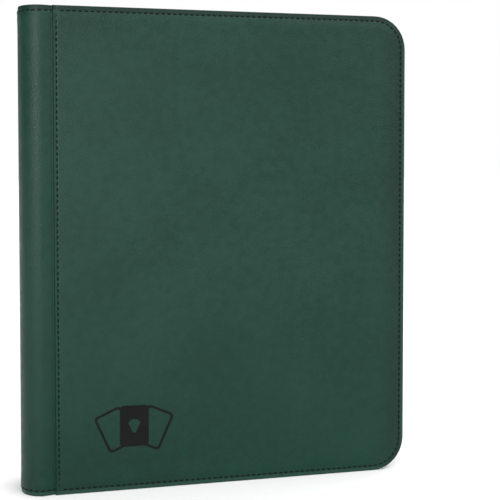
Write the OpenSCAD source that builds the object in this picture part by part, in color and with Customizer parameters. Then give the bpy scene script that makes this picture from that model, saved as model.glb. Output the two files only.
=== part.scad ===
// Zip-up nine-pocket card album, closed and standing upright on its bottom edge.
// +Z is up, the spine is on the -X side and the front cover faces -Y.

/* [Album] */
// Overall width, spine face to fore-edge
album_w = 290; // [270:1:310]
// Overall height
album_h = 350; // [320:1:380]
// Overall thickness when closed
album_t = 50; // [46:1:60]
// Radius of the two fore-edge corners of each cover
corner_r = 25; // [10:1:40]
// Radius of the soft bend between the spine and each cover
bend_r = 17; // [12:0.5:17]
// Distance of the hinge groove from the spine's outer face
groove_x = 24; // [20:0.5:28]

/* [Cover layers] */
// Leather skin thickness
leather_t = 1; // [0.8:0.1:1.2]
// Foam padding thickness
foam_t = 1.3; // [1:0.1:2]
// Stiff board thickness
board_t = 1.7; // [1.4:0.1:2]
// Inner lining thickness
lining_t = 0.5; // [0.4:0.1:0.6]
// Width of the leather turned in around each cover's edge
hem_w = 7; // [6:0.5:12]

/* [Zip] */
// Distance of the gusset's outer face from the cover's edge
zip_inset = 4; // [3:0.5:6]
// Gusset cloth thickness
gusset_t = 1; // [0.8:0.1:1.2]
// Zip tape thickness
tape_t = 0.6; // [0.4:0.1:0.8]
// Height and width of one row of teeth
teeth_h = 2.2; // [1.8:0.1:2.4]
// Gap between the two closed rows of teeth
teeth_gap = 1.6; // [1.4:0.1:2]
// Length of the slider
slider_l = 14; // [12:0.5:18]
// Width of the slider
slider_w = 10; // [8:0.5:12]
// Length of the soft pull
pull_l = 30; // [24:1:36]
// Width of the soft pull
pull_w = 8; // [6:0.5:9]

/* [Pages] */
// Width of one page panel
page_w = 225; // [220:1:228]
// Height of one page panel
page_h = 304; // [300:1:312]
// Distance from one page to the next
page_pitch = 3.3; // [3:0.05:3.4]
// Length of the flexible tail between the spine and a page
tail_l = 27; // [24:0.5:30]
// Pocket spacing across the page
pocket_dx = 73.5; // [72:0.5:74]
// Pocket spacing up the page
pocket_dz = 99.5; // [98:0.5:100]
// Width of the welds between pockets
weld_w = 4; // [3:0.5:5]
// Depth of one pocket
pocket_t = 0.75; // [0.6:0.05:0.8]
// Thickness of the clear film over each pocket
film_t = 0.2; // [0.15:0.05:0.25]
// Thickness of the black core sheet
core_t = 0.5; // [0.4:0.1:0.6]

/* [Cards] */
// Card width
card_w = 63; // [60:0.5:64]
// Card height
card_h = 88; // [85:0.5:90]
// Card thickness
card_t = 0.35; // [0.3:0.05:0.4]
// Card corner radius
card_r = 3; // [2:0.5:4]

/* [Hidden] */
$fn = 64;
e = 0.01;
x_spine = -album_w / 2;
x_edge = album_w / 2;
y_face = album_t / 2;
cover_t = leather_t + foam_t + board_t + lining_t;
y_in = y_face - cover_t;
x_cover = x_spine + groove_x + 1;
spine_half = y_face - bend_r;
spine_lining_x = x_spine + leather_t + foam_t + board_t - 0.2;
bind_x = x_spine + 5.2;
bind_t = 1;
tail_x = bind_x + bind_t;
page_x = tail_x + tail_l;
page_z = (album_h - page_h) / 2;
page_t = core_t + 2 * (pocket_t + film_t);
teeth_inset = zip_inset + gusset_t + tape_t / 2;
z_zip = album_h - teeth_inset;
slider_x = x_spine + 38;
plate_t = 1;
plate_gap = teeth_h + 0.6;
plate_top = z_zip + plate_gap / 2 + plate_t;
pull_z = plate_top + 0.7;
emblem_x = x_spine + 80.5;
emblem_z = 45;
emblem_d = 0.2;

// Outline of a cover in the XZ plane, square at the spine and rounded at the fore-edge.
module outline(inset, x0) {
  r = corner_r - inset;
  xr = x_edge - inset;
  translate([x0, inset]) square([xr - r - x0, album_h - 2 * inset]);
  translate([x0, corner_r]) square([xr - x0, album_h - 2 * corner_r]);
  translate([xr - r, corner_r]) circle(r);
  translate([xr - r, album_h - corner_r]) circle(r);
}

// Stands a flat XZ shape up between two distances in front of the middle plane.
module slab(y_out, y_inner) {
  translate([0, -y_inner, 0]) rotate([90, 0, 0]) linear_extrude(y_out - y_inner) children();
}

// A band that follows the cover's top, fore-edge and bottom.
module band(inset_out, inset_in, x0) {
  difference() {
    outline(inset_out, x0);
    outline(inset_in, x0 - 1);
  }
}

// Outline of one card, its corners cut in short straight steps.
module card_outline() {
  polygon([for (q = [0:3], a = [0, 30, 60, 90])
    let (cx = card_w / 2 - card_r, cz = card_h / 2 - card_r,
      sx = (q == 0 || q == 3) ? 1 : -1, sz = q < 2 ? 1 : -1)
    [sx * cx + card_r * cos(a + 90 * q), sz * cz + card_r * sin(a + 90 * q)]]);
}

module rounded_card(w, h, r) {
  translate([-w / 2 + r, -h / 2]) square([w - 2 * r, h]);
  translate([-w / 2, -h / 2 + r]) square([w, h - 2 * r]);
  for (sx = [-1, 1], sy = [-1, 1])
    translate([sx * (w / 2 - r), sy * (h / 2 - r)]) circle(r, $fn = 24);
}

// Frame of one card in the emblem's fan.
module card_frame(angle, dx) {
  translate([dx, 0]) rotate(angle) difference() {
    rounded_card(21, 29, 3);
    rounded_card(17.6, 25.6, 1.8);
  }
}

module emblem_shape() {
  translate([emblem_x, emblem_z]) {
    card_frame(24, -14);
    card_frame(-24, 14);
    difference() {
      translate([0, 2]) rounded_card(21, 30, 3);
      translate([0, 2]) circle(5);
    }
  }
}

module cover_leather() {
  slab(y_face, y_face - leather_t) outline(0, x_cover);
  slab(y_face - leather_t + e, y_in) band(0, leather_t, x_cover);
}

module cover_foam() {
  slab(y_face - leather_t, y_face - leather_t - foam_t) outline(leather_t + 0.2, x_cover);
}

module cover_board() {
  slab(y_in + lining_t + board_t, y_in + lining_t) outline(leather_t + 0.2, x_cover);
}

module cover_lining() {
  slab(y_in + lining_t, y_in) outline(hem_w + 0.1, x_cover);
}

module cover_hem() {
  slab(y_in + lining_t, y_in) band(leather_t + 0.1, hem_w, x_cover);
}

module cover_gusset() {
  slab(y_in, 8) band(zip_inset, zip_inset + gusset_t, x_cover + 1);
}

module cover_tape() {
  slab(12, teeth_gap / 2 + 2) band(zip_inset + gusset_t, zip_inset + gusset_t + tape_t, x_cover + 1);
}

module cover_teeth() {
  slab(teeth_gap / 2 + 2, teeth_gap / 2)
    band(teeth_inset - teeth_h / 2, teeth_inset + teeth_h / 2, x_cover + 1);
}

// Soft bend from the spine's flat to the hinge groove.
module hinge_leather() {
  linear_extrude(album_h) {
    intersection() {
      difference() {
        translate([x_spine + bend_r, -spine_half]) circle(bend_r);
        translate([x_spine + bend_r, -spine_half]) circle(bend_r - leather_t);
      }
      translate([x_spine, -y_face]) square([bend_r, bend_r]);
    }
    translate([x_spine + bend_r, -y_face]) square([groove_x - 1.6 - bend_r, leather_t]);
    translate([x_spine + groove_x - 1.9, -y_face + 0.6]) square([2.4, leather_t]);
  }
}

module leaf_tails() {
  for (k = [0:5])
    translate([tail_x, -(k + 0.5) * page_pitch - core_t / 2, page_z])
      cube([tail_l - 0.2, core_t, page_h]);
}

module zip_end_tab() {
  difference() {
    translate([bind_x, -6, z_zip - 1.3]) cube([16, 12, 2.6]);
    translate([bind_x + 9, -3, z_zip - 2]) cube([3, 6, 4]);
  }
}

module spine_leather() {
  color("DarkSlateGray") translate([x_spine, -spine_half, 0]) cube([leather_t, 2 * spine_half, album_h]);
}

module spine_padding() {
  color("Gray") translate([x_spine + leather_t, -spine_half + 0.3, 1.5])
    cube([foam_t, 2 * spine_half - 0.6, album_h - 3]);
}

module spine_board() {
  color("Tan") translate([x_spine + leather_t + foam_t, -spine_half + 0.3, 1.5])
    cube([board_t - 0.2, 2 * spine_half - 0.6, album_h - 3]);
}

module spine_lining() {
  color("Black") translate([spine_lining_x, -spine_half + 0.3, 1])
    cube([bind_x - spine_lining_x, 2 * spine_half - 0.6, album_h - 2]);
}

module binding_strip() {
  half = 5.5 * page_pitch + 0.4;
  color("Black") translate([bind_x, -half, page_z - 6]) cube([bind_t, 2 * half, page_h + 12]);
}

module front_hinge_leather() {
  color("DarkSlateGray") hinge_leather();
}

module back_hinge_leather() {
  color("DarkSlateGray") mirror([0, 1, 0]) hinge_leather();
}

module leaf_tails_front() {
  color("Black") leaf_tails();
}

module leaf_tails_back() {
  color("Black") mirror([0, 1, 0]) leaf_tails();
}

module zip_end_tab_top() {
  color("Black") zip_end_tab();
}

module zip_end_tab_bottom() {
  color("Black") translate([0, 0, album_h]) mirror([0, 0, 1]) zip_end_tab();
}

module front_leather() {
  color("DarkSlateGray") difference() {
    cover_leather();
    slab(y_face + 1, y_face - emblem_d) emblem_shape();
  }
}

module front_foam() {
  color("Gray") cover_foam();
}

module front_board() {
  color("Tan") cover_board();
}

module front_lining() {
  color("Black") cover_lining();
}

module front_hem() {
  color("DarkSlateGray") cover_hem();
}

module front_gusset() {
  color("Black") cover_gusset();
}

module front_zip_tape() {
  color("Black") cover_tape();
}

module front_zip_teeth() {
  color("DimGray") cover_teeth();
}

module front_emblem() {
  color("Black") slab(y_face, y_face - emblem_d) emblem_shape();
}

module back_leather() {
  color("DarkSlateGray") mirror([0, 1, 0]) cover_leather();
}

module back_foam() {
  color("Gray") mirror([0, 1, 0]) cover_foam();
}

module back_board() {
  color("Tan") mirror([0, 1, 0]) cover_board();
}

module back_lining() {
  color("Black") mirror([0, 1, 0]) cover_lining();
}

module back_hem() {
  color("DarkSlateGray") mirror([0, 1, 0]) cover_hem();
}

module back_gusset() {
  color("Black") mirror([0, 1, 0]) cover_gusset();
}

module back_zip_tape() {
  color("Black") mirror([0, 1, 0]) cover_tape();
}

module back_zip_teeth() {
  color("DimGray") mirror([0, 1, 0]) cover_teeth();
}

// Two plates joined by a thin post between the rows of teeth, with a bridge for the pull.
module slider_body() {
  color("Silver") translate([slider_x, 0, 0]) {
    translate([-slider_l / 2, -slider_w / 2, plate_top - plate_t]) cube([slider_l, slider_w, plate_t]);
    translate([-slider_l / 2, -slider_w / 2, z_zip - plate_gap / 2 - plate_t])
      cube([slider_l, slider_w, plate_t]);
    translate([-slider_l / 2, -0.4, z_zip - plate_gap / 2 - e])
      cube([slider_l / 2, 0.8, plate_gap + 2 * e]);
    translate([-5.5, -1.5, plate_top - e]) cube([1.2, 3, 2.4]);
    translate([4.3, -1.5, plate_top - e]) cube([1.2, 3, 2.4]);
    translate([-5.5, -1.5, plate_top + 1.5]) cube([11, 3, 0.9]);
  }
}

module pull_link() {
  color("Silver") translate([slider_x, 0, pull_z]) {
    rotate([90, 0, 0]) cylinder(r = 0.4, h = 6.2, center = true, $fn = 24);
    for (s = [-1, 1]) translate([-0.4, s * 2.7 - 0.4, -0.4]) cube([10, 0.8, 0.8]);
  }
}

module pull_tab() {
  color("Black") translate([slider_x, 0, pull_z]) difference() {
    union() {
      translate([8, -pull_w / 2, -0.8]) cube([pull_l - pull_w / 2, pull_w, 1.6]);
      translate([8 + pull_l - pull_w / 2, 0, -0.8]) cylinder(d = pull_w, h = 1.6, $fn = 48);
    }
    for (s = [-1, 1]) translate([7, s * 2.7 - 0.4, -0.4]) cube([2.6, 0.8, 0.8]);
  }
}

// Places a child at the centre of each pocket on both faces of a page.
module each_pocket() {
  for (i = [0:2], j = [0:2], s = [-1, 1])
    translate([page_x + page_w / 2 + (i - 1) * pocket_dx, s * (core_t + pocket_t) / 2,
      album_h / 2 + (j - 1) * pocket_dz]) children();
}

// One page: core sheet, welds and clear films, with side-loading pockets on both faces.
module page(k) {
  w = pocket_dx - weld_w;
  h = pocket_dz - weld_w;
  translate([0, (k - 6.5) * page_pitch, 0]) difference() {
    translate([page_x, -page_t / 2, page_z]) cube([page_w, page_t, page_h]);
    each_pocket() cube([w, pocket_t, h], center = true);
    for (i = [0:2], j = [0:2], s = [-1, 1])
      translate([page_x + page_w / 2 + (i - 1) * pocket_dx - w / 2 + 1, s * page_t / 2,
        album_h / 2 + (j - 1) * pocket_dz])
        cube([2, 2 * film_t + 0.2, h - 4], center = true);
  }
}

module card_set(k) {
  translate([0, (k - 6.5) * page_pitch, 0]) each_pocket()
    translate([1, card_t / 2, 0]) rotate([90, 0, 0]) linear_extrude(card_t) card_outline();
}

module leaf_01() {
  color("LightGray") page(1);
}

module leaf_02() {
  color("LightGray") page(2);
}

module leaf_03() {
  color("LightGray") page(3);
}

module leaf_04() {
  color("LightGray") page(4);
}

module leaf_05() {
  color("LightGray") page(5);
}

module leaf_06() {
  color("LightGray") page(6);
}

module leaf_07() {
  color("LightGray") page(7);
}

module leaf_08() {
  color("LightGray") page(8);
}

module leaf_09() {
  color("LightGray") page(9);
}

module leaf_10() {
  color("LightGray") page(10);
}

module leaf_11() {
  color("LightGray") page(11);
}

module leaf_12() {
  color("LightGray") page(12);
}

module cards_01() {
  color("MidnightBlue") card_set(1);
}

module cards_02() {
  color("MidnightBlue") card_set(2);
}

module cards_03() {
  color("MidnightBlue") card_set(3);
}

module cards_04() {
  color("MidnightBlue") card_set(4);
}

module cards_05() {
  color("MidnightBlue") card_set(5);
}

module cards_06() {
  color("MidnightBlue") card_set(6);
}

module cards_07() {
  color("MidnightBlue") card_set(7);
}

module cards_08() {
  color("MidnightBlue") card_set(8);
}

module cards_09() {
  color("MidnightBlue") card_set(9);
}

module cards_10() {
  color("MidnightBlue") card_set(10);
}

module cards_11() {
  color("MidnightBlue") card_set(11);
}

module cards_12() {
  color("MidnightBlue") card_set(12);
}

spine_leather();
spine_padding();
spine_board();
spine_lining();
binding_strip();
front_hinge_leather();
back_hinge_leather();
leaf_tails_front();
leaf_tails_back();
zip_end_tab_top();
zip_end_tab_bottom();
front_leather();
front_foam();
front_board();
front_lining();
front_hem();
front_gusset();
front_zip_tape();
front_zip_teeth();
front_emblem();
back_leather();
back_foam();
back_board();
back_lining();
back_hem();
back_gusset();
back_zip_tape();
back_zip_teeth();
slider_body();
pull_link();
pull_tab();
leaf_01();
leaf_02();
leaf_03();
leaf_04();
leaf_05();
leaf_06();
leaf_07();
leaf_08();
leaf_09();
leaf_10();
leaf_11();
leaf_12();
cards_01();
cards_02();
cards_03();
cards_04();
cards_05();
cards_06();
cards_07();
cards_08();
cards_09();
cards_10();
cards_11();
cards_12();
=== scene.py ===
"""Zip-up card album, closed and standing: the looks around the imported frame.

Lengths are millimetres until mesh() makes them metres.
"""
import math
import random

import bmesh
import bpy
import numpy as np
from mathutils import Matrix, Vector


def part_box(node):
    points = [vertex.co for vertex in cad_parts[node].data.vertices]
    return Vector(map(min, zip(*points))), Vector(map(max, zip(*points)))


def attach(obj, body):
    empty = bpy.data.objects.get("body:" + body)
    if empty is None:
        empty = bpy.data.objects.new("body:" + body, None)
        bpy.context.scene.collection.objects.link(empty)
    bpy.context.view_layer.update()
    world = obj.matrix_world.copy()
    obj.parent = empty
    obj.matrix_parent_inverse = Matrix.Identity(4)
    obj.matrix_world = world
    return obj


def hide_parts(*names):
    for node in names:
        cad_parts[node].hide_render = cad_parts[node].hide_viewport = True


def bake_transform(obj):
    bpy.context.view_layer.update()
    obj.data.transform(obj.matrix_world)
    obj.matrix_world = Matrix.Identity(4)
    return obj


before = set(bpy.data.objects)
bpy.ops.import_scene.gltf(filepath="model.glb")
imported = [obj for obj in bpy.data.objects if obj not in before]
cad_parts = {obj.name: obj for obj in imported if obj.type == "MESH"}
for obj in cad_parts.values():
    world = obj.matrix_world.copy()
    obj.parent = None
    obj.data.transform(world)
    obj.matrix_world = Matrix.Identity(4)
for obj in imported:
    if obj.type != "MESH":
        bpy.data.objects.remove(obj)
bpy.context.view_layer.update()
scene = bpy.context.scene
rng = random.Random(7)
MM = 0.001


def box_mm(node):
    lo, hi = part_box(node)
    return [c * 1000 for c in lo], [c * 1000 for c in hi]


# ---------------------------------------------------------------- sizes, read from the frame
(X_COVER, Y_OUT, _), (X_EDGE, Y_INNER, ALBUM_H) = box_mm("front_leather")
FACE = -Y_OUT
INNER = -Y_INNER
X_SPINE = box_mm("spine_leather")[0][0]
SPINE_HALF = box_mm("spine_leather")[1][1]
BEND_R = FACE - SPINE_HALF
CORNER = 25.0
HEM = 7.0  # width of the turned-in edge inside the cover
ROLL = 0.9  # radius of the cover's outer edge
X_SEAM = X_COVER - 0.2  # where the bend's strip meets the cover's skin
GROOVE = X_SPINE + 23.5
RIDGE = X_SPINE + 25.0
STITCH_X = X_SPINE + 26.7
STITCH_D = 3.8  # stitch line, in from the edge
NO_GROOVE = -1000.0  # stands for x on the part of a strip that has no groove
TAIL_X = box_mm("leaf_tails_front")[0][0]
PAGE_LO, PAGE_HI = box_mm("leaf_01")
POCKET_DX, POCKET_DZ = 73.5, 99.5  # pocket pitch
CARD_W, CARD_H = 63.0, 88.0


# ---------------------------------------------------------------- node helpers
def new_material(name):
    """A material with its node tree, its shader and the object coordinates in metres."""
    m = bpy.data.materials.new(name)
    m.use_nodes = True
    nt = m.node_tree
    bsdf = nt.nodes["Principled BSDF"]
    coord = nt.nodes.new("ShaderNodeTexCoord")
    return m, nt, bsdf, coord.outputs["Object"]


def node(nt, kind, inputs=None):
    """One shader node with its inputs linked or set."""
    n = nt.nodes.new(kind)
    for k, v in (inputs or {}).items():
        if isinstance(v, bpy.types.NodeSocket):
            nt.links.new(v, n.inputs[k])
        else:
            n.inputs[k].default_value = v
    return n


def math_node(nt, op, a, b=None, c=None, clamp=False):
    """One Math node on sockets or numbers."""
    n = nt.nodes.new("ShaderNodeMath")
    n.operation = op
    n.use_clamp = clamp
    for i, v in enumerate((a, b, c)):
        if v is None:
            continue
        if isinstance(v, bpy.types.NodeSocket):
            nt.links.new(v, n.inputs[i])
        else:
            n.inputs[i].default_value = v
    return n.outputs[0]


def mix_colour(nt, fac, a, b):
    """a where fac is 0, b where it is 1."""
    n = nt.nodes.new("ShaderNodeMix")
    n.data_type = "RGBA"
    for i, v in ((0, fac), (6, a), (7, b)):
        if isinstance(v, bpy.types.NodeSocket):
            nt.links.new(v, n.inputs[i])
        else:
            n.inputs[i].default_value = v if i == 0 else (*v, 1)
    return n.outputs[2]


def remap(nt, value, lo, hi, a=0.0, b=1.0, smooth=True):
    """a up to lo, b from hi on, and an even change between."""
    n = nt.nodes.new("ShaderNodeMapRange")
    n.interpolation_type = "SMOOTHSTEP" if smooth else "LINEAR"
    nt.links.new(value, n.inputs[0])
    for i, v in enumerate((lo, hi, a, b), 1):
        n.inputs[i].default_value = v
    return n.outputs[0]


def bump(nt, height, strength, distance, normal=None):
    n = node(nt, "ShaderNodeBump", {"Height": height, "Strength": strength, "Distance": distance})
    if normal is not None:
        nt.links.new(normal, n.inputs["Normal"])
    return n.outputs[0]


def leather(name, dark, light, rough, grain, depth, specular=0.25, painted_light_and_shade=False):
    """Grained leatherette: pebbled cells, fine pores, slow mottling of colour and gloss; the last flag adds
    painted shade towards the foot and along the edges, and a painted highlight on the turned foot and
    fore-edge.
    """
    m, nt, bsdf, obj = new_material(name)
    slow = node(nt, "ShaderNodeTexNoise", {"Vector": obj, "Scale": 14.0, "Detail": 4.0, "Roughness": 0.6})
    mid = node(nt, "ShaderNodeTexNoise", {"Vector": obj, "Scale": 160.0, "Detail": 3.0})
    cells = node(nt, "ShaderNodeTexVoronoi", {"Vector": obj, "Scale": grain, "Randomness": 1.0})
    cells.feature = "SMOOTH_F1"
    cells.inputs["Smoothness"].default_value = 0.6
    pores = node(nt, "ShaderNodeTexNoise", {"Vector": obj, "Scale": grain * 2.6, "Detail": 2.0})
    tone = math_node(nt, "MULTIPLY_ADD", slow.outputs[0], 0.6, math_node(nt, "MULTIPLY", mid.outputs[0], 0.4))
    tone = remap(nt, tone, 0.36, 0.64)
    colour = mix_colour(nt, tone, dark, light)
    if painted_light_and_shade:
        # painted shade: the colour turns deeper, with hardly any red, towards the foot
        sep = node(nt, "ShaderNodeSeparateXYZ", {"Vector": obj})
        foot_shade_dark, foot_shade_light = [(c[0] * 0.05, c[1], c[2] * 0.92) for c in (dark, light)]
        foot_shade_colour = mix_colour(nt, tone, foot_shade_dark, foot_shade_light)
        colour = mix_colour(nt, remap(nt, sep.outputs[2], -0.02, 0.20), foot_shade_colour, colour)
    # painted shade: the creases between the grain's pebbles are darker
    crease = remap(nt, cells.outputs["Distance"], 0.25, 0.75)
    colour = mix_colour(nt, math_node(nt, "MULTIPLY", crease, 0.22), colour, tuple(c * 0.55 for c in dark))
    if painted_light_and_shade:
        # painted shade: the leather is darker along the top, towards the fore-edge and at the foot
        top = remap(nt, sep.outputs[2], (ALBUM_H - 4.2) * MM, (ALBUM_H - 3.2) * MM, 1.0, 0.62)
        side = remap(nt, sep.outputs[0], (X_EDGE - 24) * MM, (X_EDGE - 1.5) * MM, 1.0, 0.66)
        painted_shade = math_node(nt, "MULTIPLY", top, side)
        painted_shade = math_node(nt, "MULTIPLY", painted_shade, remap(nt, sep.outputs[2], 0.0, 0.13, 0.88, 1.0))
        colour = mix_colour(nt, painted_shade, (0.0, 0.0, 0.0), colour)
        # painted highlight: the turned foot and fore-edge are a little lighter
        painted_rim_light = math_node(nt, "MAXIMUM", remap(nt, sep.outputs[2], 2.4 * MM, 3.2 * MM, 1.0, 0.0),
                           remap(nt, sep.outputs[0], (X_EDGE - 2.6) * MM, (X_EDGE - 1.8) * MM))
        colour = mix_colour(nt, painted_rim_light, colour, (0.010, 0.044, 0.032))
    nt.links.new(colour, bsdf.inputs["Base Color"])
    nt.links.new(remap(nt, mid.outputs[0], 0.3, 0.7, rough - 0.05, rough + 0.07), bsdf.inputs["Roughness"])
    height = math_node(nt, "MULTIPLY_ADD", pores.outputs[0], 0.35, math_node(nt, "SUBTRACT", 1.0, crease))
    nt.links.new(bump(nt, height, 0.55, depth), bsdf.inputs["Normal"])
    bsdf.inputs["Specular IOR Level"].default_value = specular
    return m


def cloth(name, dark, light, rough, thread, depth, sheen=0.06):
    """Woven nylon or thread: two crossed sets of fine ribs with uneven tone."""
    m, nt, bsdf, obj = new_material(name)
    scale = 1.0 / (thread * MM)
    ribs = {"Vector": obj, "Scale": scale * 0.16, "Distortion": 0.6, "Detail": 1.0}
    a = node(nt, "ShaderNodeTexWave", ribs)
    a.bands_direction = "DIAGONAL"
    b = node(nt, "ShaderNodeTexWave", ribs)
    b.bands_direction = "Z"
    slow = node(nt, "ShaderNodeTexNoise", {"Vector": obj, "Scale": 60.0, "Detail": 4.0})
    height = math_node(nt, "ADD", a.outputs["Fac"], b.outputs["Fac"])
    # partly painted shade: the weave's ribs are lighter and the hollows between them darker; the slow noise
    # is the cloth's uneven tone
    tone = math_node(nt, "MULTIPLY_ADD", height, 0.35, math_node(nt, "MULTIPLY", slow.outputs[0], 0.5))
    nt.links.new(mix_colour(nt, remap(nt, tone, 0.2, 0.9), dark, light), bsdf.inputs["Base Color"])
    nt.links.new(remap(nt, slow.outputs[0], 0.3, 0.7, rough - 0.06, rough + 0.08), bsdf.inputs["Roughness"])
    nt.links.new(bump(nt, height, 0.6, depth), bsdf.inputs["Normal"])
    bsdf.inputs["Sheen Weight"].default_value = sheen
    bsdf.inputs["Sheen Roughness"].default_value = 0.5
    bsdf.inputs["Specular IOR Level"].default_value = 0.2
    return m


def moulded(name, dark, light, rough, metallic=0.0, speck=900.0, depth=0.00004, coat=0.0):
    """Moulded plastic or enamelled metal: fine speckle, faint flow marks and uneven gloss."""
    m, nt, bsdf, obj = new_material(name)
    fine = node(nt, "ShaderNodeTexNoise", {"Vector": obj, "Scale": speck, "Detail": 3.0})
    slow = node(nt, "ShaderNodeTexNoise", {"Vector": obj, "Scale": 45.0, "Detail": 3.0, "Distortion": 0.4})
    flow = math_node(nt, "MULTIPLY", slow.outputs[0], 0.6)
    tone = math_node(nt, "MULTIPLY_ADD", fine.outputs[0], 0.4, flow)
    nt.links.new(mix_colour(nt, remap(nt, tone, 0.35, 0.65), dark, light), bsdf.inputs["Base Color"])
    nt.links.new(remap(nt, slow.outputs[0], 0.3, 0.7, rough - 0.06, rough + 0.08), bsdf.inputs["Roughness"])
    nt.links.new(bump(nt, fine.outputs[0], 0.4, depth), bsdf.inputs["Normal"])
    bsdf.inputs["Metallic"].default_value = metallic
    bsdf.inputs["Coat Weight"].default_value = coat
    bsdf.inputs["Coat Roughness"].default_value = 0.2
    return m


def film_material():
    """Clear pocket film: faint ripples, glossy, see-through."""
    m, nt, bsdf, obj = new_material("clear_pocket_film")
    ripple = node(nt, "ShaderNodeTexNoise", {"Vector": obj, "Scale": 26.0, "Detail": 2.0, "Distortion": 0.8})
    haze = node(nt, "ShaderNodeTexNoise", {"Vector": obj, "Scale": 9.0, "Detail": 3.0})
    nt.links.new(bump(nt, ripple.outputs[0], 0.25, 0.0005), bsdf.inputs["Normal"])
    nt.links.new(remap(nt, haze.outputs[0], 0.3, 0.7, 0.08, 0.2), bsdf.inputs["Roughness"])
    tint = mix_colour(nt, haze.outputs[0], (0.03, 0.03, 0.035), (0.07, 0.075, 0.085))
    nt.links.new(tint, bsdf.inputs["Base Color"])
    bsdf.inputs["Alpha"].default_value = 0.12
    bsdf.inputs["Specular IOR Level"].default_value = 0.8
    bsdf.inputs["Coat Weight"].default_value = 0.2
    bsdf.inputs["Coat Roughness"].default_value = 0.08
    return m


def card_material():
    """Printed card: navy fading to black, a thin foil border with two accents, a gold diamond and a bar."""
    m, nt, bsdf, obj = new_material("card_print")
    sep = node(nt, "ShaderNodeSeparateXYZ", {"Vector": obj})
    cx = (PAGE_LO[0] + PAGE_HI[0]) / 2 + 1.0
    cz = ALBUM_H / 2

    def local(value, centre, pitch):
        shifted = math_node(nt, "MULTIPLY_ADD", value, 1000.0 / pitch, 10.5 - centre / pitch)
        return math_node(nt, "MULTIPLY_ADD", math_node(nt, "FRACT", shifted), pitch, -pitch / 2)

    u, v = local(sep.outputs[0], cx, POCKET_DX), local(sep.outputs[2], cz, POCKET_DZ)
    au, av = math_node(nt, "ABSOLUTE", u), math_node(nt, "ABSOLUTE", v)
    # distance to the card's edge, inwards
    sides = math_node(nt, "SUBTRACT", CARD_W / 2, au)
    ends = math_node(nt, "SUBTRACT", CARD_H / 2, av)
    edge = math_node(nt, "MINIMUM", sides, ends)
    corner = math_node(nt, "SUBTRACT", (CARD_W + CARD_H) / 2, math_node(nt, "ADD", au, av))
    rounded = math_node(nt, "MULTIPLY", math_node(nt, "SUBTRACT", corner, 5.0), 0.75)
    edge = math_node(nt, "SMOOTH_MIN", edge, rounded, 1.5)

    def line(value, at, half):
        off = math_node(nt, "ABSOLUTE", math_node(nt, "SUBTRACT", value, at))
        return remap(nt, off, half, half + 0.25, 1.0, 0.0)

    def between(value, lo, hi):
        above, below = remap(nt, value, lo - 0.1, lo + 0.1), remap(nt, value, hi - 0.1, hi + 0.1, 1.0, 0.0)
        return math_node(nt, "MULTIPLY", above, below)

    left = math_node(nt, "MULTIPLY", between(u, -30.4, -29.2), between(v, 9.0, 23.0))
    right = math_node(nt, "MULTIPLY", between(u, 29.2, 30.4), between(v, -35.0, -20.0))
    border = math_node(nt, "MAXIMUM", line(edge, 1.7, 0.30), math_node(nt, "MAXIMUM", left, right))
    # a plain gold diamond with its points cut off
    high = math_node(nt, "ABSOLUTE", math_node(nt, "SUBTRACT", v, 4.0))
    reach = math_node(nt, "MULTIPLY_ADD", au, 1 / 16.7, math_node(nt, "MULTIPLY", high, 1 / 15.5))
    reach = math_node(nt, "MAXIMUM", reach, math_node(nt, "MULTIPLY", high, 1 / 12.5))
    emblem = remap(nt, reach, 0.80, 0.83, 1.0, 0.0)
    slant = math_node(nt, "SUBTRACT", math_node(nt, "ADD", u, v), 4.0)
    groove = line(math_node(nt, "ABSOLUTE", slant), 0.0, 0.22)
    emblem = math_node(nt, "MULTIPLY", emblem, math_node(nt, "MULTIPLY_ADD", groove, -0.7, 1.0))
    bar = math_node(nt, "MULTIPLY", between(v, -17.2, -14.0), remap(nt, au, 14.6, 14.8, 1.0, 0.0))
    notch = math_node(nt, "MULTIPLY", remap(nt, au, 4.6, 4.8), remap(nt, au, 5.4, 5.6, 1.0, 0.0))
    bar = math_node(nt, "MULTIPLY", bar, math_node(nt, "SUBTRACT", 1.0, notch))
    gold = math_node(nt, "MAXIMUM", bar, emblem, clamp=True)
    swirl = node(nt, "ShaderNodeTexNoise", {"Vector": obj, "Scale": 42.0, "Detail": 4.0, "Distortion": 1.2})
    cloud = remap(nt, swirl.outputs[0], 0.3, 0.7, 0.6, 1.0)
    light = math_node(nt, "MULTIPLY", remap(nt, v, -40.0, 44.0), cloud)
    blue = mix_colour(nt, light, (0.0008, 0.0011, 0.0020), (0.0050, 0.0210, 0.0480))
    streak = node(nt, "ShaderNodeTexNoise", {"Vector": obj, "Scale": 95.0, "Detail": 2.0})
    warm = remap(nt, math_node(nt, "SUBTRACT", u, v), -30.0, 30.0)
    frame_tone = mix_colour(nt, warm, (0.50, 0.54, 0.56), (0.66, 0.52, 0.24))
    shine = remap(nt, streak.outputs[0], 0.35, 0.65)
    leaf_tone = mix_colour(nt, shine, (0.62, 0.44, 0.14), (0.86, 0.74, 0.36))
    colour = mix_colour(nt, gold, mix_colour(nt, border, blue, frame_tone), leaf_tone)
    nt.links.new(colour, bsdf.inputs["Base Color"])
    foil = math_node(nt, "MAXIMUM", gold, border)
    nt.links.new(math_node(nt, "MULTIPLY", foil, 0.35), bsdf.inputs["Metallic"])
    nt.links.new(remap(nt, streak.outputs[0], 0.3, 0.7, 0.26, 0.4), bsdf.inputs["Roughness"])
    nt.links.new(bump(nt, foil, 0.3, 0.00006), bsdf.inputs["Normal"])
    bsdf.inputs["Specular IOR Level"].default_value = 0.12
    return m


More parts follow.
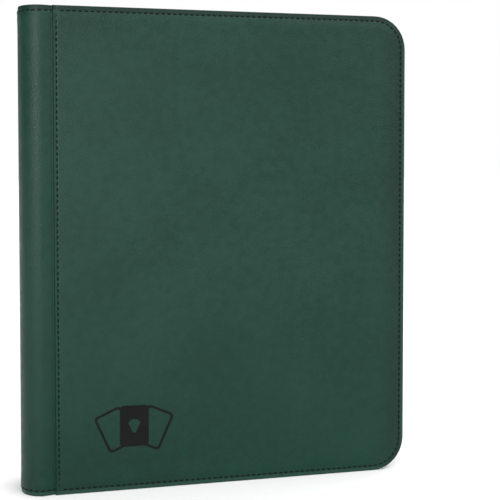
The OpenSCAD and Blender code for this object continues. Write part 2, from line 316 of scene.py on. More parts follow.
GREEN = leather("green_leather", (0.0036, 0.0285, 0.0190), (0.0072, 0.0385, 0.0262),
                0.41, 1300.0, 0.00018, 0.24, True)
THREAD = cloth("green_thread", (0.0006, 0.0030, 0.0021), (0.0014, 0.0062, 0.0044), 0.8, 0.35, 0.00006, 0.0)
BLACK = leather("black_lining", (0.009, 0.009, 0.010), (0.018, 0.018, 0.020), 0.48, 900.0, 0.00014)
NYLON = cloth("black_nylon", (0.006, 0.006, 0.007), (0.022, 0.022, 0.025), 0.72, 0.5, 0.00010)
TAPE = cloth("black_zip_tape", (0.005, 0.005, 0.006), (0.018, 0.018, 0.020), 0.78, 0.35, 0.00008)
TEETH = moulded("zip_teeth", (0.010, 0.010, 0.011), (0.022, 0.022, 0.024), 0.34)
METAL = moulded("zip_metal", (0.045, 0.045, 0.048), (0.10, 0.10, 0.105), 0.30, 0.6, 700.0, 0.00002, 0.5)
RUBBER = moulded("pull_rubber", (0.010, 0.010, 0.010), (0.020, 0.020, 0.021), 0.62, 0.0, 1400.0, 0.00005)
INK = moulded("emblem_print", (0.0016, 0.0018, 0.0018), (0.0034, 0.0038, 0.0036), 0.5, 0.0, 1500.0, 0.00003)
INK.node_tree.nodes["Principled BSDF"].inputs["Specular IOR Level"].default_value = 0.15
CORE = moulded("page_core", (0.008, 0.008, 0.009), (0.016, 0.016, 0.018), 0.44, 0.0, 1100.0, 0.00005)
FILM = film_material()
CARD = card_material()
FOAM = moulded("foam", (0.30, 0.30, 0.28), (0.42, 0.42, 0.40), 0.9)
BOARD = moulded("greyboard", (0.16, 0.14, 0.12), (0.24, 0.21, 0.18), 0.9)


# ---------------------------------------------------------------- mesh helpers
def mesh(name, verts, faces, materials, face_material=None):
    """Builds a smooth-shaded object from millimetres."""
    me = bpy.data.meshes.new(name)
    me.from_pydata([tuple(c * MM for c in p) for p in verts], [], faces)
    for m in materials:
        me.materials.append(m)
    if face_material is not None:
        me.polygons.foreach_set("material_index", face_material)
    me.polygons.foreach_set("use_smooth", [True] * len(me.polygons))
    me.update()
    obj = bpy.data.objects.new(name, me)
    scene.collection.objects.link(obj)
    return obj


class Builder:
    """Collects grids of faces into one mesh."""

    def __init__(self):
        self.verts, self.faces, self.mats = [], [], []

    def grid(self, rows, flip=False, close_cols=False, mat=0):
        """Faces between rows of points. Returns the number of the first point."""
        base, n, m = len(self.verts), len(rows), len(rows[0])
        for r in rows:
            self.verts.extend([tuple(map(float, p)) for p in r])
        for i in range(n - 1):
            for j in range(m if close_cols else m - 1):
                a, b = base + i * m + j, base + i * m + (j + 1) % m
                c, d = base + (i + 1) * m + (j + 1) % m, base + (i + 1) * m + j
                self.faces.append((a, d, c, b) if flip else (a, b, c, d))
                self.mats.append(mat)
        return base

    def close_rim(self, base, other, n, m, flip=False):
        """Joins the rims of two grids of n by m points that start at base and at other."""
        ring = list(range(m)) + [i * m + m - 1 for i in range(1, n)]
        ring += [(n - 1) * m + j for j in range(m - 2, -1, -1)] + [i * m for i in range(n - 2, 0, -1)]
        for k, p in enumerate(ring):
            q = ring[(k + 1) % len(ring)]
            face = (base + p, base + q, other + q, other + p)
            self.faces.append(face[::-1] if flip else face)
            self.mats.append(0)

    def make(self, name, materials, body=None, merge=False):
        """The object. It rides on body unless body is None; merge joins points that coincide."""
        obj = mesh(name, self.verts, self.faces, materials, self.mats)
        if merge:
            bm = bmesh.new()
            bm.from_mesh(obj.data)
            bmesh.ops.remove_doubles(bm, verts=bm.verts, dist=0.00002)
            bmesh.ops.recalc_face_normals(bm, faces=bm.faces)
            bm.to_mesh(obj.data)
            bm.free()
        if body:
            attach(obj, body)
        return obj


def outward_shift(x):
    """Groove, ridge and stitched dip beside the spine, as a change of the surface's height."""
    valley = -1.6 * math.exp(-(((x - GROOVE) / (5.0 if x < GROOVE else 0.7)) ** 2))
    crease = -0.5 * math.exp(-(((x - GROOVE) / 0.55) ** 2))
    ridge = 0.30 * math.exp(-(((x - RIDGE) / 0.7) ** 2))
    dip = -0.30 * math.exp(-(((x - STITCH_X) / 0.6) ** 2))
    return valley + crease + ridge + dip


def edge_profile():
    """(distance in from the edge, change of height) over the padded face, from 25 mm in to its rim."""
    out = []
    for d in (25, 21, 17, 13.5, 11, 9, 7.8, 7.0, 6.2, 5.5, 4.9, 4.5, 4.15, 3.8, 3.45, 3.1, 2.7, 2.2, 1.8):
        puff = 0.45 * math.exp(-(((d - 9.0) / 3.4) ** 2)) + 0.12
        dip = -0.32 * math.exp(-(((d - STITCH_D) / 0.75) ** 2))
        fall = -0.75 * max(0.0, (4.2 - d) / 4.2) ** 1.5
        out.append((d, puff + dip + fall))
    last = out[-1][1]
    for k in range(0, 7):
        t = math.radians(15 * k)
        out.append((ROLL * (1 - math.sin(t)), last * (1 - k / 6) - ROLL * (1 - math.cos(t))))
    return out


PROFILE = edge_profile()
MIDDLE_Z = list(np.linspace(25, ALBUM_H - 25, 61))


def outline_loop(d, xs, nc, zs):
    """Points (x, z) of the cover's outline set in by d: foot, corner, fore-edge, corner, top."""
    r = max(CORNER - d, 0.0)
    xr, pts = X_EDGE - CORNER, []
    for x in xs:
        pts.append((x, d))
    for k in range(1, nc):
        t = math.radians(90 * k / nc)
        pts.append((xr + r * math.sin(t), CORNER - r * math.cos(t)))
    for z in zs:
        pts.append((xr + r, z))
    for k in range(1, nc):
        t = math.radians(90 * k / nc)
        pts.append((xr + r * math.cos(t), ALBUM_H - CORNER + r * math.sin(t)))
    for x in reversed(xs):
        pts.append((x, ALBUM_H - d))
    return pts


SEAM_STEPS = (0, 0.3, 0.6, 0.9, 1.3, 1.7, 2.1, 2.45, 2.8, 3.1, 3.5, 4.0, 4.6, 5.5, 7.0, 9.0, 12.0, 16.0)
SEAM_XS = [X_SEAM + v for v in SEAM_STEPS]
COVER_XS = SEAM_XS + list(np.linspace(X_SEAM + 20, X_EDGE - CORNER, 58))


def crown(x):
    """How far the padding falls away towards the fore-edge."""
    return 1.1 * max(0.0, (x - (X_EDGE - 20)) / 20) ** 2


def cover_height(x, z, change):
    """Height of the padded face over the middle plane, with a slow unevenness of the foam."""
    near = min(1.0, max(0.0, (min(z, ALBUM_H - z, X_EDGE - x)) / 25))
    ripple = 0.10 * math.sin(x / 31 + 0.7) * math.sin(z / 43 + 1.9) + 0.05 * math.sin(x / 13 + z / 17)
    inland = min(1.0, max(0.0, (x - STITCH_X) / 20))
    return FACE - crown(x) + change + outward_shift(x) + ripple * near * inland


def cover_skin(name, side, body):
    """The padded leather of a cover, from the face over the rolled edge to the turned-in hem."""
    b = Builder()
    loops = []

    def add_loop(d, height):
        loops.append([(x, side * height(x, z), z) for x, z in outline_loop(d, COVER_XS, 10, MIDDLE_Z)])

    for d, change in PROFILE:
        add_loop(d, lambda x, z, c=change: cover_height(x, z, c))
    for h in (FACE - ROLL - 0.7, INNER + 1.0):
        add_loop(0, lambda x, z, h=h: h - crown(x) * (h > INNER + 1.1) + 0.3 * outward_shift(x))
    for k in (1, 2, 3):
        t = math.radians(30 * k)
        add_loop(1.0 - math.cos(t), lambda x, z, t=t: INNER + 1.0 - math.sin(t))
    for d, h in ((2.0, 0), (4.5, 0), (HEM - 0.3, 0), (HEM, 0.12), (HEM + 0.1, 0.5)):
        add_loop(d, lambda x, z, h=h: INNER + h)
    b.grid(loops, flip=side > 0)
    rows = [[(x, side * cover_height(x, z, PROFILE[0][1]), z) for x in COVER_XS] for z in MIDDLE_Z]
    b.grid(rows, flip=side > 0)
    return b.make(name, [GREEN], body, merge=True)


def bend_path(side, lo, hi, n):
    """Columns along the spine's section: (point, outward direction, x for the groove), angle 0 faces -X."""
    out = []
    for k in range(n + 1):
        s = lo + (hi - lo) * k / n
        arc = BEND_R * math.pi / 2
        if s <= SPINE_HALF:
            out.append(((X_SPINE, side * s), (-1.0, 0.0), NO_GROOVE))
        elif s <= SPINE_HALF + arc:
            t = (s - SPINE_HALF) / BEND_R
            out.append(((X_SPINE + BEND_R - BEND_R * math.cos(t), side * (SPINE_HALF + BEND_R * math.sin(t))),
                        (-math.cos(t), side * math.sin(t)), X_SPINE + BEND_R - (SPINE_HALF + arc - s)))
        else:
            x = X_SPINE + BEND_R + s - SPINE_HALF - arc
            out.append(((x, side * FACE), (0.0, side * 1.0), x))
    return out


END_S = SPINE_HALF + BEND_R * math.pi / 2 + X_SEAM - (X_SPINE + BEND_R)


def ease(gx):
    """1 round the spine, 0 where the strip meets the cover."""
    return 1.0 if gx == NO_GROOVE else min(1.0, max(0.0, (X_SEAM - 1 - gx) / 9.0))


def groove_shift(gx):
    """outward_shift for a column of bend_path, and 0 where there is no groove."""
    return 0.0 if gx == NO_GROOVE else outward_shift(gx)


def wrapped_strip(name, columns, thickness, flip):
    """A strip of leather over the section's columns, rolled over at top and bottom, black lining inside."""
    b = Builder()
    outer_z = [d for d, _ in reversed(PROFILE)]
    changes = [c for _, c in reversed(PROFILE)]
    rows = []
    for (px, py), (nx, ny), gx in columns:
        shift = groove_shift(gx)
        row = []
        soft = [c - 0.28 * ease(gx) * math.exp(-(((d - 9.0) / 3.4) ** 2)) for d, c in zip(outer_z, changes)]
        for d, c in zip(outer_z, soft):
            row.append((px + nx * (c + shift), py + ny * (c + shift), d))
        for z in MIDDLE_Z[1:-1]:
            row.append((px + nx * (changes[-1] + shift), py + ny * (changes[-1] + shift), z))
        for d, c in zip(reversed(outer_z), reversed(soft)):
            row.append((px + nx * (c + shift), py + ny * (c + shift), ALBUM_H - d))
        rows.append(row)
    b.grid(rows, flip=flip)
    inner = []
    for (px, py), (nx, ny), gx in columns:
        row = []
        zs = [0.0, 0.3, 1.2, 3.0, 7.0, 12.0, 18.0, 30.0]
        for z in zs + list(np.linspace(45, ALBUM_H - 45, 30)) + [ALBUM_H - z for z in reversed(zs)]:
            e = min(z, ALBUM_H - z)
            t = thickness + max(0.0, 2.9 - thickness) * max(0.0, 1 - e / 15.0) ** 0.5
            drop = 0.7 if e < 0.1 else 0.25 if e < 0.4 else 0.0
            sunk = groove_shift(gx)
            row.append((px - nx * (t - drop - sunk), py - ny * (t - drop - sunk), z))
        inner.append(row)
    base = b.grid(inner, flip=not flip, mat=1)
    m_out, m_in = len(rows[0]), len(inner[0])
    for i in range(len(rows) - 1):
        for o_j, i_j, rev in ((0, 0, False), (m_out - 1, m_in - 1, True)):
            a, c = i * m_out + o_j, (i + 1) * m_out + o_j
            e, f = base + (i + 1) * m_in + i_j, base + i * m_in + i_j
            q = (a, c, e, f)
            b.faces.append(q if rev == flip else q[::-1])
            b.mats.append(0)
    return b.make(name, [GREEN, BLACK])


def stitch_row(builder, pts, normals, pitch=4.2, length=3.1, radius=0.48, rise=0.12):
    """Sewn stitches along a line: each a short rounded thread that dives into the leather at both ends."""
    pts, normals = np.array(pts, float), np.array(normals, float)
    seg = np.linalg.norm(np.diff(pts, axis=0), axis=1)
    s = np.concatenate([[0], np.cumsum(seg)])
    count = max(1, int(s[-1] / pitch))
    gap = s[-1] / count

    def at(v, arr):
        return np.array([np.interp(v, s, arr[:, k]) for k in range(3)])

    for k in range(count):
        mid = (k + 0.5) * gap + rng.uniform(-0.12, 0.12)
        rings = []
        for t, h, w in ((-0.5, -0.75, 0.35), (-0.42, -0.15, 0.8), (-0.22, 0.10, 1.0), (0, 0.16, 1.05),
                        (0.22, 0.10, 1.0), (0.42, -0.15, 0.8), (0.5, -0.75, 0.35)):
            v = min(max(mid + t * length, 0), s[-1])
            p, nrm = at(v, pts), at(v, normals)
            nrm = nrm / np.linalg.norm(nrm)
            tan = at(min(v + 0.2, s[-1]), pts) - at(max(v - 0.2, 0), pts)
            tan = tan / np.linalg.norm(tan)
            sideways = np.cross(tan, nrm)
            c = p + nrm * (rise + h)
            rings.append([c + radius * w * (math.cos(q) * sideways + 0.8 * math.sin(q) * nrm)
                          for q in np.linspace(0, 2 * math.pi, 7)[:-1]])
        builder.grid(rings, close_cols=True)


def cover_stitches(name, side, body):
    """The row round a cover's edge and the row beside the groove."""
    b = Builder()
    xs = list(np.linspace(STITCH_X + 2.0, X_EDGE - CORNER, 40))
    dip = min(PROFILE, key=lambda p: abs(p[0] - STITCH_D))[1]
    loop = outline_loop(STITCH_D, xs, 12, list(np.linspace(25, ALBUM_H - 25, 20)))
    pts = [(x, side * cover_height(x, z, dip), z) for x, z in loop]
    stitch_row(b, pts, [(0, side, 0)] * len(pts))
    zs = np.linspace(STITCH_D + 1.5, ALBUM_H - STITCH_D - 1.5, 60)
    pts = [(STITCH_X, side * cover_height(STITCH_X, z, PROFILE[0][1]), z) for z in zs]
    stitch_row(b, pts, [(0, side, 0)] * len(pts))
    return b.make(name, [THREAD], body)


def path_stitches(name, columns):
    """Stitches along the top and bottom of a strip built by wrapped_strip."""
    b = Builder()
    dip = min(PROFILE, key=lambda p: abs(p[0] - STITCH_D))[1]
    for z in (STITCH_D, ALBUM_H - STITCH_D):
        pts, normals = [], []
        for (px, py), (nx, ny), gx in columns:
            shift = groove_shift(gx)
            pts.append((px + nx * (dip + shift), py + ny * (dip + shift), z))
            normals.append((nx, ny, 0))
        stitch_row(b, pts, normals)
    return b.make(name, [THREAD])


# ---------------------------------------------------------------- covers and spine
for word, side, body in (("front", -1, "front_cover"), ("back", 1, "back_cover")):
    skin = cover_skin(f"{word}_cover_skin", side, body)
    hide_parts(f"{word}_leather", f"{word}_hem", f"{word}_foam")
    sewn = cover_stitches(f"{word}_cover_stitches", side, body)
    columns = bend_path(side, SPINE_HALF - 0.4, END_S, 54)
    bend = wrapped_strip(f"{word}_bend", columns, 1.05, side > 0)
    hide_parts(f"{word}_hinge_leather")
    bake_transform(bend)
    sewn = path_stitches(f"{word}_bend_stitches", columns)
    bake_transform(sewn)

spine_columns = []
for k in range(9):
    y = -SPINE_HALF + 0.4 + (2 * SPINE_HALF - 0.8) * k / 8
    spine_columns.append(((X_SPINE, y), (-1.0, 0.0), NO_GROOVE))
spine = wrapped_strip("spine_skin", spine_columns, 3.9, True)
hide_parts("spine_leather")
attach(spine, "spine")
sewn = path_stitches("spine_stitches", spine_columns)
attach(sewn, "spine")

# the printed emblem lies on the padded face
print_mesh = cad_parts["front_emblem"].data.copy()
for v in print_mesh.vertices:
    x, y, z = (c * 1000 for c in v.co)
    proud = 0.20 if y < -(FACE - 0.1) else -0.3
    v.co.y = -(cover_height(x, z, PROFILE[0][1]) + proud) * MM
print_mesh.name = "cover_emblem"
emblem = bpy.data.objects.new("cover_emblem", print_mesh)
scene.collection.objects.link(emblem)
print_mesh.materials.clear()
print_mesh.materials.append(INK)
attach(emblem, "front_cover")
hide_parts("front_emblem")

# ---------------------------------------------------------------- gusset, zip tape and teeth
GUSSET_D, TEETH_D = 4.0, 5.3  # how far in from the edge they lie
BAND_X = box_mm("front_gusset")[0][0]


def band_points(d, step):
    """Evenly spaced points (x, z) with inward directions along the U-shaped band set in by d."""
    xs = [BAND_X, X_EDGE - CORNER]
    pts = np.array(outline_loop(d, xs, 24, list(np.linspace(CORNER, ALBUM_H - CORNER, 12))), float)
    seg = np.linalg.norm(np.diff(pts, axis=0), axis=1)
    s = np.concatenate([[0], np.cumsum(seg)])
    count = int(round(s[-1] / step))
    out = []
    for k in range(count + 1):
        v = s[-1] * k / count
        p = np.array([np.interp(v, s, pts[:, i]) for i in (0, 1)])
        lo, hi = max(v - 0.5, 0), min(v + 0.5, s[-1])
        t = np.array([np.interp(hi, s, pts[:, i]) - np.interp(lo, s, pts[:, i]) for i in (0, 1)])
        t = t / np.linalg.norm(t)
        out.append((p, np.array([-t[1], t[0]]), t, v))
    return out, s[-1]


def gusset(name, side, body):
    """Nylon band round the edge, sewn to the cover and to the zip tape, slack and slightly wavy between."""
    b = Builder()
    pts, total = band_points(GUSSET_D, 2.2)
    ys = [INNER + 0.2, INNER - 0.6, INNER - 1.6, 17.6, 16, 14.4, 12.8, 11.6, 10.8, 10.2, 9.4, 8.6, 8.0]
    phases = [rng.uniform(0, 6.28) for _ in range(4)]
    outer, inner = [], []
    for p, inward, t, v in pts:
        ro, ri = [], []
        ends = min(1.0, v / 15, (total - v) / 15)
        wave = (0.7 * math.sin(v / 17 + phases[0]) + 0.35 * math.sin(v / 7.3 + phases[1])
                + 0.12 * math.sin(v / 3.4 + phases[2])) * ends
        for y in ys:
            bell = math.sin(math.pi * min(1, max(0, (INNER - 0.8 - y) / (INNER - 11)))) ** 1.2
            seam = 0.22 * math.exp(-(((y - 10.0) / 0.5) ** 2)) + 0.22 * math.exp(-(((y - 18.2) / 0.6) ** 2))
            off = 0.05 + bell * (0.9 + 1.1 * wave) + seam
            q, w = p + inward * off, p + inward * (off + 0.75)
            ro.append((q[0], side * y, q[1]))
            ri.append((w[0], side * y, w[1]))
        outer.append(ro)
        inner.append(ri)
    b.grid(outer, flip=side > 0)
    b.grid(inner, flip=side < 0)
    n = len(outer)
    for j, flip in ((0, side > 0), (len(ys) - 1, side < 0)):
        b.grid([[outer[i][j] for i in range(n)], [inner[i][j] for i in range(n)]], flip=flip)
    for i, flip in ((0, side < 0), (n - 1, side > 0)):
        b.grid([outer[i], inner[i]], flip=not flip)
    return b.make(name, [NYLON], body, merge=True)


def teeth(name, side, body):
    """One row of a coil zip: a rounded loop of monofilament for each tooth, over a woven cord."""
    b = Builder()
    pts, _ = band_points(TEETH_D, 1.5)
    turn = np.linspace(0, 2 * math.pi, 9)[:-1]
    tooth = ((3.1, 0.42, 0.75), (2.6, 0.50, 1.02), (1.6, 0.50, 1.08), (1.05, 0.46, 0.98), (0.82, 0.34, 0.60))
    for p, inward, t, v in pts[1:-1]:
        rings = []
        for y, half_w, half_h in tooth:
            ring = []
            for q in turn:
                c = p + t * (half_w * math.cos(q)) + inward * (half_h * math.sin(q))
                ring.append((c[0], side * y, c[1]))
            rings.append(ring)
        b.grid(rings, close_cols=True, flip=side < 0)
        base = len(b.verts) - 8
        b.faces.append(tuple(range(base, base + 8)) if side < 0 else tuple(range(base + 7, base - 1, -1)))
        b.mats.append(0)
    cord = []
    for p, inward, t, v in pts:
        ring = []
        for q in turn:
            c = p + inward * (0.62 * math.sin(q))
            ring.append((c[0], side * (2.6 + 0.55 * math.cos(q)), c[1]))
        cord.append(ring)
    b.grid(cord, close_cols=True, flip=side < 0, mat=1)
    return b.make(name, [TEETH, TAPE], body)


def band_stitches(name, side, body):
    """The two rows that sew the gusset to the zip tape and to the cover, seen inside and out."""
    b = Builder()
    outside, inside = -1, 1
    for d, y, sign in ((GUSSET_D + 0.05, 10.0, outside), (GUSSET_D + 0.05, 18.2, outside),
                       (GUSSET_D + 1.7, 10.0, inside), (GUSSET_D + 1.05, 18.2, inside)):
        pts, _ = band_points(d, 6.0)
        stitch_row(b, [(p[0], side * y, p[1]) for p, i, t, v in pts],
                   [(sign * i[0], 0, sign * i[1]) for p, i, t, v in pts],
                   pitch=3.2, length=2.4, radius=0.26, rise=0.08)
    return b.make(name, [TAPE], body)


for word, side, body in (("front", -1, "front_cover"), ("back", 1, "back_cover")):
    piece = gusset(f"{word}_gusset_band", side, body)
    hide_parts(f"{word}_gusset")
    band_points(GUSSET_D, 2.2)[1] * MM
    piece = teeth(f"{word}_zip_coil", side, body)
    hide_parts(f"{word}_zip_teeth")
    piece = band_stitches(f"{word}_band_stitches", side, body)

# ---------------------------------------------------------------- pull and slider
def pull_tab(name, body):
    """Soft moulded tab: rounded ends and edges, a sunk panel on both faces with grip ribs across it."""
    (x0, y0, z0), (x1, y1, z1) = box_mm("pull_tab")
    xc, yc, zc = (x0 + x1) / 2, (y0 + y1) / 2, (z0 + z1) / 2
    half, wide, thick = (x1 - x0) / 2, (y1 - y0) / 2, (z1 - z0) / 2
    b = Builder()
    us = np.sin(np.linspace(-math.pi / 2, math.pi / 2, 61))
    vs = np.sin(np.linspace(-math.pi / 2, math.pi / 2, 19))
    for s in (1, -1):
        rows = []
        for u in us:
            x = u * half
            over = max(0.0, abs(x) - (half - wide)) / wide
            w = wide * math.sqrt(max(0.0, 1 - over ** 2.6))
            row = []
            for v in vs:
                edge = min(wide * (1 - abs(v)), half - abs(x))
                t = thick * math.sqrt(max(0.0, 1 - max(0.0, 1 - edge / 0.9) ** 2))
                inside = min(1.0, max(0.0, (min(wide * (1 - abs(v)) - 1.3, half - 4.0 - abs(x - 1.0)) / 0.5)))
                t -= inside * (0.30 - 0.22 * max(0.0, math.cos(2 * math.pi * x / 2.4)))
                row.append((xc + x, yc + v * w, zc + s * max(t, 0.0)))
            rows.append(row)
        b.grid(rows, flip=s < 0)
    return b.make(name, [RUBBER], body, merge=True)


tab = pull_tab("soft_pull", "zip_pull")
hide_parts("pull_tab")
ZIP_END_TABS = ("zip_end_tab_top", "zip_end_tab_bottom")
SOFTENED = {"slider_body": 0.35, "pull_link": 0.3, ZIP_END_TABS[0]: 0.25, ZIP_END_TABS[1]: 0.25}
for name, width in SOFTENED.items():
    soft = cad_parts[name].modifiers.new("softened", "BEVEL")
    soft.width, soft.segments, soft.limit_method, soft.angle_limit = width * MM, 3, "ANGLE", math.radians(30)



def tab_stitches(name):
    """A sewn box with a cross on both faces of the zip's end tab."""
    (x0, y0, z0), (x1, y1, z1) = box_mm(name)
    b = Builder()
    for z, s in ((z0, -1), (z1, 1)):
        xa, xb, ya, yb = x0 + 1.2, x0 + 8.0, y0 + 1.3, y1 - 1.3
        for p, q in (((xa, ya), (xb, ya)), ((xb, ya), (xb, yb)), ((xb, yb), (xa, yb)), ((xa, yb), (xa, ya)),
                     ((xa, ya), (xb, yb)), ((xa, yb), (xb, ya))):
            pts = [(p[0] + (q[0] - p[0]) * t, p[1] + (q[1] - p[1]) * t, z) for t in np.linspace(0, 1, 8)]
            stitch_row(b, pts, [(0, 0, s)] * len(pts), pitch=2.2, length=1.6, radius=0.24, rise=0.08)
    return b.make(f"{name}_stitches", [TAPE], "spine")


for name in ZIP_END_TABS:
    tab_stitches(name)

# ---------------------------------------------------------------- pages
PX0, PX1, PZ0, PZ1 = PAGE_LO[0], PAGE_HI[0], PAGE_LO[2], PAGE_HI[2]
PCX, PCZ = (PX0 + PX1) / 2, (PZ0 + PZ1) / 2
HALF_W, HALF_H = (POCKET_DX - 4) / 2, (POCKET_DZ - 4) / 2
WELD_W = 1.1  # width of the weld round a pocket


def page_sheet(name, yc, body):
    """Black core sheet with welded ribs round every pocket, a bound edge and its stitches."""
    b = Builder()
    xs = [PX0, PX0 + 0.5, PX0 + 2.2]
    zs = [PZ0, PZ0 + 0.5]
    for i in (-1, 0, 1):
        for cuts, c, half in ((xs, PCX + i * POCKET_DX, HALF_W), (zs, PCZ + i * POCKET_DZ, HALF_H)):
            low, high = c - half, c + half
            cuts += [low - WELD_W, low, low + 0.7, c, high - 0.7, high, high + WELD_W]
    xs = sorted(set(xs + [PX1 - 0.5, PX1]))
    zs = sorted(set(zs + [PZ1 - 0.5, PZ1]))

    def thick(x, z):
        edge = min(x - PX0, PX1 - x, z - PZ0, PZ1 - z)
        u = min(abs(x - PCX - i * POCKET_DX) for i in (-1, 0, 1))
        v = min(abs(z - PCZ - i * POCKET_DZ) for i in (-1, 0, 1))
        if u < HALF_W and v < HALF_H:
            return 0.22
        t = 0.62 + (0.22 if u > HALF_W + 0.5 or v > HALF_H + 0.5 else 0.0)
        return 0.25 if edge < 0.1 else t

    for s in (-1, 1):
        rows = [[(x, yc + s * thick(x, z), z) for x in xs] for z in zs]
        b.grid(rows, flip=s > 0)
    n, m = len(zs), len(xs)
    for q in range(len(b.mats)):
        i, j = q // (m - 1) % (n - 1), q % (m - 1)
        x, z = (xs[j] + xs[j + 1]) / 2, (zs[i] + zs[i + 1]) / 2
        u = min(abs(x - PCX - k * POCKET_DX) for k in (-1, 0, 1)) - HALF_W
        v = min(abs(z - PCZ - k * POCKET_DZ) for k in (-1, 0, 1)) - HALF_H
        if 0 < max(u, v) < WELD_W:
            b.mats[q] = 2
    b.close_rim(0, n * m, n, m)
    for s in (-1, 1):
        pts = [(PX0 + 2.6, yc + s * 0.72, z) for z in np.linspace(PZ0 + 2, PZ1 - 2, 30)]
        base = len(b.mats)
        stitch_row(b, pts, [(0, s, 0)] * len(pts), pitch=3.4, length=2.5, radius=0.34, rise=0.12)
        for q in range(base, len(b.mats)):
            b.mats[q] = 1
    return b.make(name, [CORE, BEAD, WELD], body)


def page_films(name, yc, body, seed):
    """Eighteen clear pocket fronts, each puffed a little over its card and open on the side by the spine."""
    r = random.Random(seed)
    b = Builder()
    for s in (-1, 1):
        for i in (-1, 0, 1):
            for j in (-1, 0, 1):
                cx, cz = PCX + i * POCKET_DX, PCZ + j * POCKET_DZ
                nu, nv = 12, 14
                ph = [r.uniform(0, 6.28) for _ in range(3)]
                outer, inner = [], []
                for a in range(nv + 1):
                    v = -1 + 2 * a / nv
                    ro, ri = [], []
                    for c in range(nu + 1):
                        u = -1 + 2 * c / nu
                        x, z = cx + u * (HALF_W + 0.6), cz + v * (HALF_H + 0.6)
                        lift = (1 - v ** 6) * (1 - max(0.0, u) ** 6)
                        wave = 0.06 * math.sin(3 * u + ph[0] + v)
                        wave += 0.05 * math.sin(4 * v + ph[1]) * math.cos(2 * u + ph[2])
                        h = 0.86 + (0.12 + wave) * lift
                        ro.append((x, yc + s * (h + 0.10), z))
                        ri.append((x, yc + s * h, z))
                    outer.append(ro)
                    inner.append(ri)
                base = b.grid(outer, flip=s > 0)
                other = b.grid(inner, flip=s < 0)
                b.close_rim(base, other, nv + 1, nu + 1, flip=s < 0)
    return b.make(name, [FILM], body)


def page_tail(name, yc):
    """The flexible strip that joins a page to the spine."""
    b = Builder()
    xs = np.linspace(TAIL_X - 0.3, PX0 + 0.3, 26)
    zs = np.linspace(PZ0, PZ1, 20)
    for s in (-1, 1):
        b.grid([[(x, yc + s * 0.22, z) for x in xs] for z in zs], flip=s > 0)
    n, m = len(zs), len(xs)
    b.close_rim(0, n * m, n, m)
    return b.make(name, [CORE])


WELD = moulded("pocket_weld", (0.040, 0.040, 0.043), (0.085, 0.085, 0.090), 0.36, 0.0, 900.0, 0.00003)
BEAD = cloth("binding_thread", (0.012, 0.012, 0.013), (0.040, 0.040, 0.043), 0.55, 0.3, 0.00005)
for k in range(1, 13):
    lo, hi = box_mm(f"leaf_{k:02d}")
    yc = (lo[1] + hi[1]) / 2
    body = f"page_{k:02d}"
    sheet = page_sheet(f"page_{k:02d}_sheet", yc, body)
    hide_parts(f"leaf_{k:02d}")
    film = page_films(f"page_{k:02d}_pockets", yc, body, 40 + k)
    tail = page_tail(f"page_{k:02d}_tail", yc)
    if k in (1, 12):
        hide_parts("leaf_tails_front" if k == 1 else "leaf_tails_back")
    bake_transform(tail)

# ---------------------------------------------------------------- CAD nodes that stay, with their materials
MADE_OF = ((FOAM, ("spine_padding", "front_foam", "back_foam")),
           (BOARD, ("spine_board", "front_board", "back_board")),
           (BLACK, ("spine_lining", "front_lining", "back_lining")),
           (NYLON, (*ZIP_END_TABS, "front_gusset", "back_gusset")),
           (TAPE, ("front_zip_tape", "back_zip_tape")),
           (TEETH, ("front_zip_teeth", "back_zip_teeth")),
           (METAL, ("slider_body", "pull_link")),
           (INK, ("front_emblem",)),
           (RUBBER, ("pull_tab",)))
DRESS = {name: material for material, names in MADE_OF for name in names}
for name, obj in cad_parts.items():
    m = DRESS.get(name) or (CARD if name.startswith("cards") else CORE)
    obj.data.materials.clear()
    obj.data.materials.append(m)

# ---------------------------------------------------------------- floor, light, camera
corners = [(-6000, -4000, 0), (6000, -4000, 0), (6000, 9000, 0), (-6000, 9000, 0)]
floor = mesh("floor", corners, [(0, 1, 2, 3)], [])
mat, nt, bsdf, obj = new_material("pale_floor")
grain = node(nt, "ShaderNodeTexNoise", {"Vector": obj, "Scale": 3.0, "Detail": 2.0})
pale = mix_colour(nt, grain.outputs[0], (0.90, 0.90, 0.90), (0.92, 0.92, 0.92))
nt.links.new(pale, bsdf.inputs["Base Color"])
bsdf.inputs["Roughness"].default_value = 0.9
bsdf.inputs["Specular IOR Level"].default_value = 0.1
floor.data.materials.append(mat)

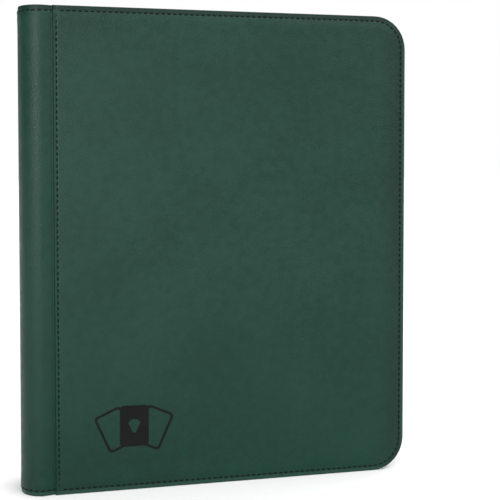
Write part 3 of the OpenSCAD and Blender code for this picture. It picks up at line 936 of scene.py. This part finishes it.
world = bpy.data.worlds.new("studio")
world.use_nodes = True
nt = world.node_tree
way = node(nt, "ShaderNodeSeparateXYZ", {"Vector": node(nt, "ShaderNodeTexCoord").outputs["Generated"]})
flag = math_node(nt, "MULTIPLY_ADD", way.outputs[0], -0.93, math_node(nt, "MULTIPLY", way.outputs[1], 0.37))
glow = remap(nt, way.outputs[2], 0.05, 0.95, 0.24, 2.45, False)
glow = math_node(nt, "MULTIPLY", glow, remap(nt, flag, 0.05, 0.75, 1.0, 0.04))
plain = node(nt, "ShaderNodeLightPath").outputs["Is Camera Ray"]
glow = math_node(nt, "MAXIMUM", glow, plain)
nt.links.new(glow, nt.nodes["Background"].inputs["Strength"])
nt.nodes["Background"].inputs["Color"].default_value = (1, 1, 1, 1)
scene.world = world
scene.view_settings.view_transform = "Standard"


def area(name, azimuth, elevation, distance, size, power, target=(0, 0, 175), spread=180):
    """A softbox. Azimuth is measured from the front (-Y) towards the spine side (-X)."""
    a, e = math.radians(azimuth), math.radians(elevation)
    d = Vector((-math.sin(a) * math.cos(e), -math.cos(a) * math.cos(e), math.sin(e)))
    light = bpy.data.lights.new(name, "AREA")
    light.shape = "RECTANGLE"
    light.size, light.size_y = size
    light.energy = power
    light.spread = math.radians(spread)
    o = bpy.data.objects.new(name, light)
    o.location = Vector(target) * MM + d * distance
    o.rotation_mode = "QUATERNION"
    o.rotation_quaternion = (-d).to_track_quat("-Z", "Y")
    scene.collection.objects.link(o)


area("key", 34, 9, 1.5, (0.46, 0.34), 0.95, (20, 0, 260), 50)
area("fill", -34, 26, 1.6, (0.5, 0.4), 0.30, (60, 0, 240), 50)
area("rim", 136, 6, 1.2, (0.15, 0.6), 0.6)

psi, pitch = math.radians(13.19), math.radians(2.0)
cam = bpy.data.cameras.new("camera")
cam.lens, cam.sensor_width = 68.4, 36.0
cam.shift_x, cam.shift_y = -0.0016, -0.121
cam.clip_start, cam.clip_end = 0.01, 100
camera = bpy.data.objects.new("camera", cam)
camera.location = (-0.1384, -0.7122, 0.2432)
camera.rotation_mode = "QUATERNION"
look = Vector((math.sin(psi) * math.cos(pitch), math.cos(psi) * math.cos(pitch), -math.sin(pitch)))
camera.rotation_quaternion = look.to_track_quat("-Z", "Y")
scene.collection.objects.link(camera)
scene.camera = camera
